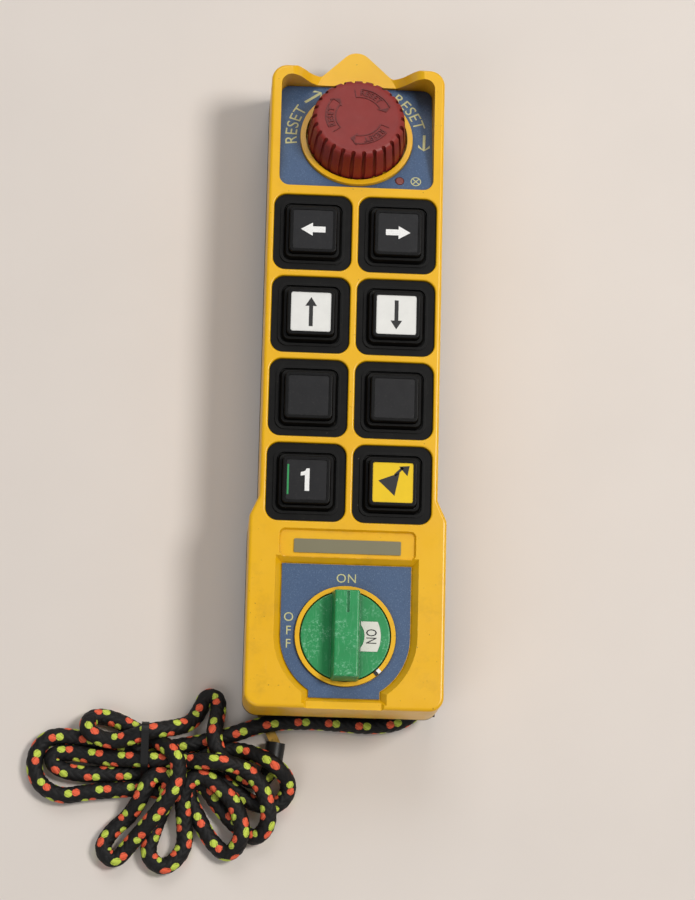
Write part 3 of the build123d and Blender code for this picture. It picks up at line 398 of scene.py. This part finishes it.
# ---- shape helpers ------------------------------------------------------------------------------
PANEL_TILT = radians(16.6)
stop_joint = next(j for j in frame["joints"] if j["name"] == "stop_twist")
knob_joint = next(j for j in frame["joints"] if j["name"] == "start_turn")
PANEL = Matrix.Translation(stop_joint["pos_m"]) @ Matrix.Rotation(-PANEL_TILT, 4, "X")
KNOB_X, KNOB_Y = knob_joint["pos_m"][:2]


def add_mesh(name, mesh, material, body, slot_name=None):
    mesh.materials.clear()
    mesh.materials.append(material)
    piece = bpy.data.objects.new(name, mesh)
    scene.collection.objects.link(piece)
    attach(piece, body)
    return piece


def slab(name, outlines, thickness, where, material, body, slot_name=None):
    """A thin plate or printed mark: closed outlines in mm on the plane where, raised by thickness mm."""
    bm = bmesh.new()
    for outline in outlines:
        bm.faces.new([bm.verts.new((x * MM, y * MM, 0)) for x, y in outline])
    bm.normal_update()
    bmesh.ops.triangulate(bm, faces=bm.faces[:])
    solidify(bm, thickness * MM)
    return from_bmesh(name, bm, where, material, body, slot_name)


def solidify(bm, thickness):
    """Every flat face grows up by thickness, with side walls and a bottom."""
    bmesh.ops.remove_doubles(bm, verts=bm.verts, dist=1e-7)
    bm.normal_update()
    for face in bm.faces:
        if face.normal.z < 0:
            face.normal_flip()
    bottom = bm.faces[:]
    lifted = bmesh.ops.extrude_face_region(bm, geom=bottom, use_keep_orig=True)["geom"]
    for vert in (g for g in lifted if isinstance(g, bmesh.types.BMVert)):
        vert.co.z += thickness
    for face in bottom:
        face.normal_flip()


def from_bmesh(name, bm, where, material, body, slot_name=None, warp=None):
    if warp:
        for vert in bm.verts:
            vert.co = warp(vert.co)
    mesh = bpy.data.meshes.new(name)
    bm.to_mesh(mesh)
    bm.free()
    mesh.transform(where)
    return add_mesh(name, mesh, material, body, slot_name)


CAP_RATIO = 0.72


def lettering(name, words, height, thickness, where, material, body, slot_name=None, warp=None, width=1.0):
    """Generic words in plain capitals, height mm tall, centred on where and raised by thickness mm."""
    curve = bpy.data.curves.new(name + "_type", "FONT")
    curve.body = words
    curve.align_x = "CENTER"
    curve.align_y = "CENTER"
    curve.size = height * MM / CAP_RATIO
    curve.space_character = 1.08
    curve.resolution_u = 4
    text = bpy.data.objects.new(name + "_type", curve)
    scene.collection.objects.link(text)
    flat = bpy.data.meshes.new_from_object(text)
    bpy.data.objects.remove(text)
    bm = bmesh.new()
    bm.from_mesh(flat)
    bpy.data.meshes.remove(flat)
    for vert in bm.verts:
        vert.co.x *= width
    bmesh.ops.triangulate(bm, faces=bm.faces[:])
    solidify(bm, thickness * MM)
    return from_bmesh(name, bm, where, material, body, slot_name, warp)


def round_centre(radius, middle):
    """Bends flat work onto a circle of radius mm, tops outwards, its middle at the angle middle, in degrees."""
    def warp(point):
        angle = radians(middle) - point.x / (radius * MM)
        reach = radius * MM + point.y
        return Vector((reach * cos(angle), reach * sin(angle), point.z))
    return warp


def arrow_outline(length, shaft, head_length, head_width):
    """A block arrow pointing along +Y, centred on the origin."""
    half, neck = length / 2, length / 2 - head_length
    return [(-shaft / 2, -half), (shaft / 2, -half), (shaft / 2, neck), (head_width / 2, neck), (0, half),
            (-head_width / 2, neck), (-shaft / 2, neck)]


def arc_outline(radius, width, start, end, count=18):
    """Quads of a flat arc from start to end, in degrees."""
    quads = []
    for i in range(count):
        a = radians(start + (end - start) * i / count)
        b = radians(start + (end - start) * (i + 1) / count)
        corners = ((radius, a), (radius + width, a), (radius + width, b), (radius, b))
        quads.append([(r * cos(t), r * sin(t)) for r, t in corners])
    return quads


def at(x, y, z, turn=0.0):
    """A flat frame at that point in metres, turned by degrees about Z."""
    return Matrix.Translation((x, y, z)) @ Matrix.Rotation(radians(turn), 4, "Z")


def on_panel(x, y, height, turn=0.0):
    """A frame on the sloping panel, x and y in mm from the stop button's axis, height in mm above it."""
    return PANEL @ at(x * MM, y * MM, height * MM, turn)


# ---- key legends --------------------------------------------------------------------------------
PRINT = 0.05


def key_top(key, turn=0.0):
    low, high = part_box(f"key_label_{key}")
    return at((low.x + high.x) / 2, (low.y + high.y) / 2, high.z, turn)


for key, turn in (("1_left", 90), ("1_right", -90)):
    slab(f"legend_{key}", [arrow_outline(8.5, 2.1, 4.1, 4.7)], PRINT, key_top(key, turn), ink_white,
         f"key_{key}", "legend_white")
for key, turn in (("2_left", 0), ("2_right", 180)):
    slab(f"legend_{key}", [arrow_outline(10.3, 1.35, 3.1, 4.0)], PRINT, key_top(key, turn), ink_black,
         f"key_{key}", "legend_dark")
NUMERAL_ONE = [(-0.55, -3.9), (1.0, -3.9), (1.0, 3.9), (0.0, 3.9), (-0.5, 3.0), (-2.0, 2.5), (-2.0, 1.3),
               (-0.55, 1.6)]
slab("legend_4_left", [NUMERAL_ONE], PRINT, key_top("4_left"), ink_white, "key_4_left", "legend_white")
low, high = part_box("key_label_4_left")
slab("legend_4_left_strip", [[(-0.3, -5.2), (0.3, -5.2), (0.3, 5.2), (-0.3, 5.2)]], PRINT,
     at(low.x + 0.6 * MM, (low.y + high.y) / 2, high.z), ink_green, "key_4_left", "knob_green")
HORN = [(-5.0, 0.6), (2.2, 3.4), (0.6, -4.6)]
HORN_ARROW = [[(0.9, 2.2), (3.6, 5.0), (3.0, 5.6), (0.3, 2.9)], [(2.0, 5.6), (5.6, 5.9), (4.9, 2.4)]]
slab("legend_4_right", [HORN] + HORN_ARROW, PRINT, key_top("4_right"), ink_black, "key_4_right", "legend_dark")

# ---- printing on the blue plates ----------------------------------------------------------------
PLATE_TOP = -1.2
RESET_RADIUS = 22.9
ON_REACH = 19.7
OFF_REACH = 19.3
RING_TOP = 36.7
MARK_REACH = 16.35


def line_arrow(name, length, where):
    """An arrow drawn with a thin shaft and two slanting barbs, pointing along +Y."""
    tip, barb, line = length / 2, 2.0, 0.95
    shaft = [(-line / 2, -tip), (line / 2, -tip), (line / 2, tip - 0.7), (0, tip), (-line / 2, tip - 0.7)]
    left = [(0, tip), (-line / 2, tip - 0.7), (-barb, tip - barb - 0.6), (-barb - 0.1, tip - barb + 0.5)]
    right = [(-x, y) for x, y in left]
    slab(name, [shaft, left, right], PRINT, where, ink_cream, "case", "label_grey")


lettering("reset_left", "RESET", 4.3, PRINT, on_panel(0, 0, PLATE_TOP), ink_cream, "case", "label_grey",
          round_centre(RESET_RADIUS, 167))
lettering("reset_right", "RESET", 4.2, PRINT, on_panel(0, 0, PLATE_TOP), ink_cream, "case", "label_grey",
          round_centre(RESET_RADIUS, 34))
line_arrow("reset_arrow_left", 7.4, on_panel(-15.4, 17.2, PLATE_TOP, -52))
line_arrow("reset_arrow_right", 6.8, on_panel(23.9, -0.6, PLATE_TOP, 178))


def bar(length, width, turn):
    """A thin bar through the origin."""
    c, s = cos(radians(turn)), sin(radians(turn))
    long, wide = length / 2, width / 2
    corners = ((-long, -wide), (long, -wide), (long, wide), (-long, wide))
    return [(x * c - y * s, x * s + y * c) for x, y in corners]


lamp_symbol = on_panel(20.9, -17.0, PLATE_TOP)
slab("lamp_symbol_ring", arc_outline(1.5, 0.35, 0, 360, 32), PRINT, lamp_symbol, ink_cream, "case", "label_grey")
slab("lamp_symbol_cross", [bar(3.0, 0.35, 45)], PRINT, lamp_symbol, ink_cream, "case", "label_grey")
slab("lamp_symbol_cross_2", [bar(3.0, 0.35, -45)], PRINT * 0.9, lamp_symbol, ink_cream, "case", "label_grey")

plate_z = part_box("bottom_plate")[1].z
lettering("on_above_knob", "ON", 3.1, PRINT, at(KNOB_X, KNOB_Y + ON_REACH * MM, plate_z), ink_cream, "case",
          "label_grey")
for name, letter, y in (("off_1", "O", 6.0), ("off_2", "F", 1.4), ("off_3", "F", -3.1)):
    lettering(name, letter, 3.1, PRINT, at(KNOB_X - OFF_REACH * MM, KNOB_Y + y * MM, plate_z), ink_cream, "case",
              "label_grey")
for name, ink, turn, slot_name in (("ring_mark_black", ink_black, -49.5, "cap_black"),
                                   ("ring_mark_white", ink_white, -45.0, "legend_white")):
    angle = radians(turn)
    x, y = KNOB_X + MARK_REACH * MM * cos(angle), KNOB_Y + MARK_REACH * MM * sin(angle)
    slab(name, [[(-0.72, -0.6), (0.72, -0.6), (0.72, 0.6), (-0.72, 0.6)]], 0.1, at(x, y, RING_TOP * MM, turn), ink,
         "case", slot_name)

# ---- knob sticker -------------------------------------------------------------------------------
low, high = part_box("knob_sticker")
lettering("on_sticker_print", "ON", 3.7, PRINT, at((low.x + high.x) / 2, (low.y + high.y) / 2, high.z, -90),
          ink_black, "start_knob", "cap_black", width=0.62)

# ---- raised work on the stop head ---------------------------------------------------------------
HEAD_TOP = 12.5
RAISED = 0.4


# The raised rims, arrows and words use the darker, painted-shade copy of the stop red.
for number, middle in enumerate((60, 180, 300)):
    rims = arc_outline(8.0, 0.3, middle - 38, middle + 38) + arc_outline(11.4, 0.3, middle - 38, middle + 26)
    rims += arc_outline(8.3, 3.1, middle + 37.2, middle + 38, 1)
    slab(f"stop_rim_{number}", rims, RAISED, on_panel(0, 0, HEAD_TOP), shaded_raised_red, "stop_button", "stop_red")
    tip = [(8.0, middle - 38), (11.4, middle - 38), (11.4, middle - 34), (12.2, middle - 34),
           (9.7, middle - 47), (7.2, middle - 34), (8.0, middle - 34)]
    slab(f"stop_arrow_{number}", [[(r * cos(radians(t)), r * sin(radians(t))) for r, t in tip]], RAISED,
         on_panel(0, 0, HEAD_TOP), shaded_raised_red, "stop_button", "stop_red")
    lettering(f"stop_word_{number}", "RESET", 2.1, RAISED, on_panel(0, 0, HEAD_TOP), shaded_raised_red,
              "stop_button", "stop_red", round_centre(9.85, middle + 4))


# ---- lanyard rope -------------------------------------------------------------------------------
# Control points in mm. The first 12 repeat the lead's. The rest are the heap: a relaxation program spread a
# traced route apart, and six of its points were then chosen one by one.
LANYARD_ROUTE = [
    (-16.5, -111.4, 3), (-3, -111.9, 3), (11, -111.3, 3.2), (27, -104.3, 4.4), (31, -110.3, 4.4),
    (23.2, -118.6, 3.2), (11.5, -120.6, 3), (-2, -119.6, 3), (-14, -119.5, 4.4), (-25.5, -120.8, 5.4),
    (-36, -124.6, 3.8), (-46, -127.6, 3.4), (-56, -129.5, 3), (-66.5, -132, 3), (-78, -129.5, 3),
    (-90, -127, 3), (-100.5, -127, 3), (-105, -135, 3), (-103, -143.5, 3), (-95, -148, 3), (-86, -146, 3),
    (-76, -145, 3), (-66.5, -144, 3), (-57.5, -145.5, 3), (-46, -131.5, 3), (-38.5, -130, 3),
    (-31, -130.5, 5), (-21.5, -135, 11), (-15.5, -142, 4), (-20, -149.5, 3), (-28.5, -148.5, 3),
    (-35, -144.5, 3), (-39.5, -140.5, 3), (-58, -135, 3), (-66, -138.5, 3), (-78, -139.5, 3),
    (-90, -140, 3), (-98, -137.5, 3), (-98.5, -133, 3), (-91, -132.5, 3), (-78, -134.5, 5.5),
    (-66, -134.5, 8.5), (-53, -135, 7.5), (-42, -135, 14), (-32, -136.5, 9.5), (-25, -143.5, 9),
    (-22.5, -155, 7.5), (-27.5, -161, 3), (-34, -156.5, 3), (-40.5, -149.5, 3), (-43.5, -145, 3),
    (-46.5, -142, 3), (-50.5, -142.3, 3), (-51, -147, 3), (-47.5, -153.5, 3), (-43, -161.5, 3),
    (-36.5, -167, 3), (-31.5, -160, 9), (-34, -150, 7.5), (-41, -142.5, 8), (-47.5, -139, 8),
    (-53.5, -144, 8), (-52, -155.5, 4), (-51.5, -165, 3), (-58.5, -172, 3), (-65, -167, 3), (-62, -157, 3),
    (-58.5, -148, 7.5), (-57, -140, 9), (-64, -139.5, 8), (-67, -147.5, 8.5), (-71, -154, 3),
    (-77, -159, 3), (-80.5, -165.5, 3), (-75.5, -170, 3), (-70, -163, 4), (-62, -154, 11),
    (-54, -142.5, 14.5), (-55.5, -132, 14), (-66.5, -126, 3.5), (-78, -120, 3), (-86, -120, 4),
    (-87, -126, 9), (-77, -129.5, 8), (-66.5, -125.5, 12.5), (-56, -123.5, 9), (-50.5, -121, 3),
    (-47.5, -115.5, 3), (-46, -111.5, 3), (-42, -112, 3), (-41.5, -117, 5), (-43.5, -127, 10),
    (-39.5, -134.5, 7.5), (-33.5, -138.5, 3.5), (-27.5, -141.5, 3), (-23.2, -138, 3.4), (-21.9, -131, 3.6),
    (-21.5, -127.2, 3.6),
]
rope_line = bpy.data.curves.new("lanyard_line", "CURVE")
rope_line.dimensions = "3D"
rope_line.resolution_u = 16
spline = rope_line.splines.new("NURBS")
spline.points.add(len(LANYARD_ROUTE) - 1)
for point, (x, y, z) in zip(spline.points, LANYARD_ROUTE):
    point.co = (x * MM, y * MM, z * MM, 1)
spline.order_u = 3
spline.use_endpoint_u = True
line_object = bpy.data.objects.new("lanyard_line", rope_line)
scene.collection.objects.link(line_object)
line_mesh = bpy.data.meshes.new_from_object(line_object)
route = [vert.co.copy() for vert in line_mesh.vertices]
bpy.data.objects.remove(line_object)


def evenly(points, step):
    """Points along the same line, about step apart, and the length of the line."""
    travelled = [0.0]
    for before, here in zip(points, points[1:]):
        travelled.append(travelled[-1] + (here - before).length)
    count = round(travelled[-1] / step)
    spaced, i = [], 0
    for n in range(count + 1):
        target = travelled[-1] * n / count
        while i < len(points) - 2 and travelled[i + 1] < target:
            i += 1
        span = max(travelled[i + 1] - travelled[i], 1e-9)
        spaced.append(points[i].lerp(points[i + 1], min(1.0, (target - travelled[i]) / span)))
    return spaced, travelled[-1]


def braid_height(u, v):
    """How far the braid stands proud at u pitches along and v turns round, 0 to 1."""
    right, left = STRANDS * (v - u), STRANDS * (v + u)
    step = (floor(right) + floor(left)) % 4
    across = right - floor(right) if step < 2 else left - floor(left)
    along = ((step % 2) + (left - floor(left) if step < 2 else right - floor(right))) / 2
    return (1 - (2 * across - 1) ** 2) * (1 - 0.55 * (2 * along - 1) ** 4)


def rope_mesh(points, length, sides=28, relief=0.26):
    """A tube round the points whose surface follows the braid, with its U and V kept for the material."""
    mesh = bpy.data.meshes.new("lanyard_rope")
    verts, faces, uvs = [], [], []
    tangent = (points[1] - points[0]).normalized()
    side = tangent.orthogonal().normalized()
    pitches = length / (PITCH * MM)
    for n, here in enumerate(points):
        ahead, behind = points[min(n + 1, len(points) - 1)], points[max(n - 1, 0)]
        turned = (ahead - behind).normalized()
        side = (side - turned * side.dot(turned)).normalized()
        other = turned.cross(side)
        u = pitches * n / (len(points) - 1)
        for k in range(sides):
            v = k / sides
            reach = (ROPE / 2 - relief + relief * braid_height(u, v)) * MM
            verts.append(here + (side * cos(2 * pi * v) + other * sin(2 * pi * v)) * reach)
    for n in range(len(points) - 1):
        for k in range(sides):
            after = (k + 1) % sides
            faces.append((n * sides + k, n * sides + after, (n + 1) * sides + after, (n + 1) * sides + k))
            u, u2 = (pitches * m / (len(points) - 1) for m in (n, n + 1))
            uvs += [(u, k / sides), (u, (k + 1) / sides), (u2, (k + 1) / sides), (u2, k / sides)]
    last = (len(points) - 1) * sides
    faces.append(tuple(range(sides))[::-1])
    faces.append(tuple(range(last, last + sides)))
    uvs += [(0, k / sides) for k in range(sides)] + [(pitches, k / sides) for k in range(sides)]
    mesh.from_pydata([tuple(v) for v in verts], [], faces)
    layer = mesh.uv_layers.new(name="braid")
    for loop, uv in zip(layer.data, uvs):
        loop.uv = uv
    for face in mesh.polygons:
        face.use_smooth = True
    return mesh


rope_points, rope_length = evenly(route, 0.6 * MM)
rope = add_mesh("lanyard_rope", rope_mesh(rope_points, rope_length), made["rope"], "case", "rope")
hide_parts("lanyard_lead", "lanyard_hank")

# The tie is a flat band pulled tight round the turns that pass through it.
TIE_X = (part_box("lanyard_tie")[0].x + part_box("lanyard_tie")[1].x) / 2
TIE_LOW_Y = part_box("lanyard_tie")[0].y
TIE_HALF_WIDTH = 1.3
TIE_THICKNESS = 0.7
TIE_GAP = 0.1
RIM_SIDES = 24


def hull(points):
    """Corners of the convex outline, anticlockwise."""
    points = sorted(points)
    chains = []
    for ordered in (points, points[::-1]):
        chain = []
        for p in ordered:
            while len(chain) > 1 and ((chain[-1][0] - chain[-2][0]) * (p[1] - chain[-2][1])
                                      - (chain[-1][1] - chain[-2][1]) * (p[0] - chain[-2][0])) <= 0:
                chain.pop()
            chain.append(p)
        chains.append(chain[:-1])
    return chains[0] + chains[1]


def tie_band():
    """The band's mesh, round the outline of every turn that it holds."""
    reach = (ROPE / 2 + TIE_GAP) * MM
    crossings = []
    for before, here in zip(rope_points, rope_points[1:]):
        if (before.x - TIE_X) * (here.x - TIE_X) <= 0 and here.y > TIE_LOW_Y:
            crossings.append((here.y, here.z))
    rims = [(y + reach * cos(2 * pi * k / RIM_SIDES), max(z + reach * sin(2 * pi * k / RIM_SIDES), 0.0002))
            for y, z in crossings for k in range(RIM_SIDES)]
    outline = hull(rims)
    bm = bmesh.new()
    loops = []
    centre_y = sum(p[0] for p in outline) / len(outline)
    centre_z = sum(p[1] for p in outline) / len(outline)
    for x, grow in ((-TIE_HALF_WIDTH, 0), (-TIE_HALF_WIDTH, TIE_THICKNESS), (TIE_HALF_WIDTH, TIE_THICKNESS),
                    (TIE_HALF_WIDTH, 0)):
        loop = []
        for y, z in outline:
            away = Vector((y - centre_y, z - centre_z)).normalized() * grow * MM
            loop.append(bm.verts.new((TIE_X + x * MM, y + away.x, max(z + away.y, 0.0001))))
        loops.append(loop)
    for a, b in zip(loops, loops[1:] + loops[:1]):
        for k in range(len(outline)):
            after = (k + 1) % len(outline)
            bm.faces.new((a[k], a[after], b[after], b[k]))
    bmesh.ops.recalc_face_normals(bm, faces=bm.faces)
    return bm


tie = from_bmesh("tie_band", tie_band(), Matrix.Identity(4), made["sleeve_black"], "case", "rubber_black")
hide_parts("lanyard_tie")


# ---- floor --------------------------------------------------------------------------------------
def backdrop():
    s = Shader("backdrop")
    tone = s.mix(s.noise(60, 3), rgb(227, 219, 212), rgb(220, 212, 205))
    return s.finish(tone, s.spread(s.noise(8, 3), 0.7, 0.85), s.noise(0.8, 3), 0.03, 0.2)


bm = bmesh.new()
bmesh.ops.create_grid(bm, x_segments=8, y_segments=8, size=3.0)
floor_mesh = bpy.data.meshes.new("floor")
bm.to_mesh(floor_mesh)
bm.free()
floor_mesh.materials.append(backdrop())
floor_object = bpy.data.objects.new("floor", floor_mesh)
scene.collection.objects.link(floor_object)
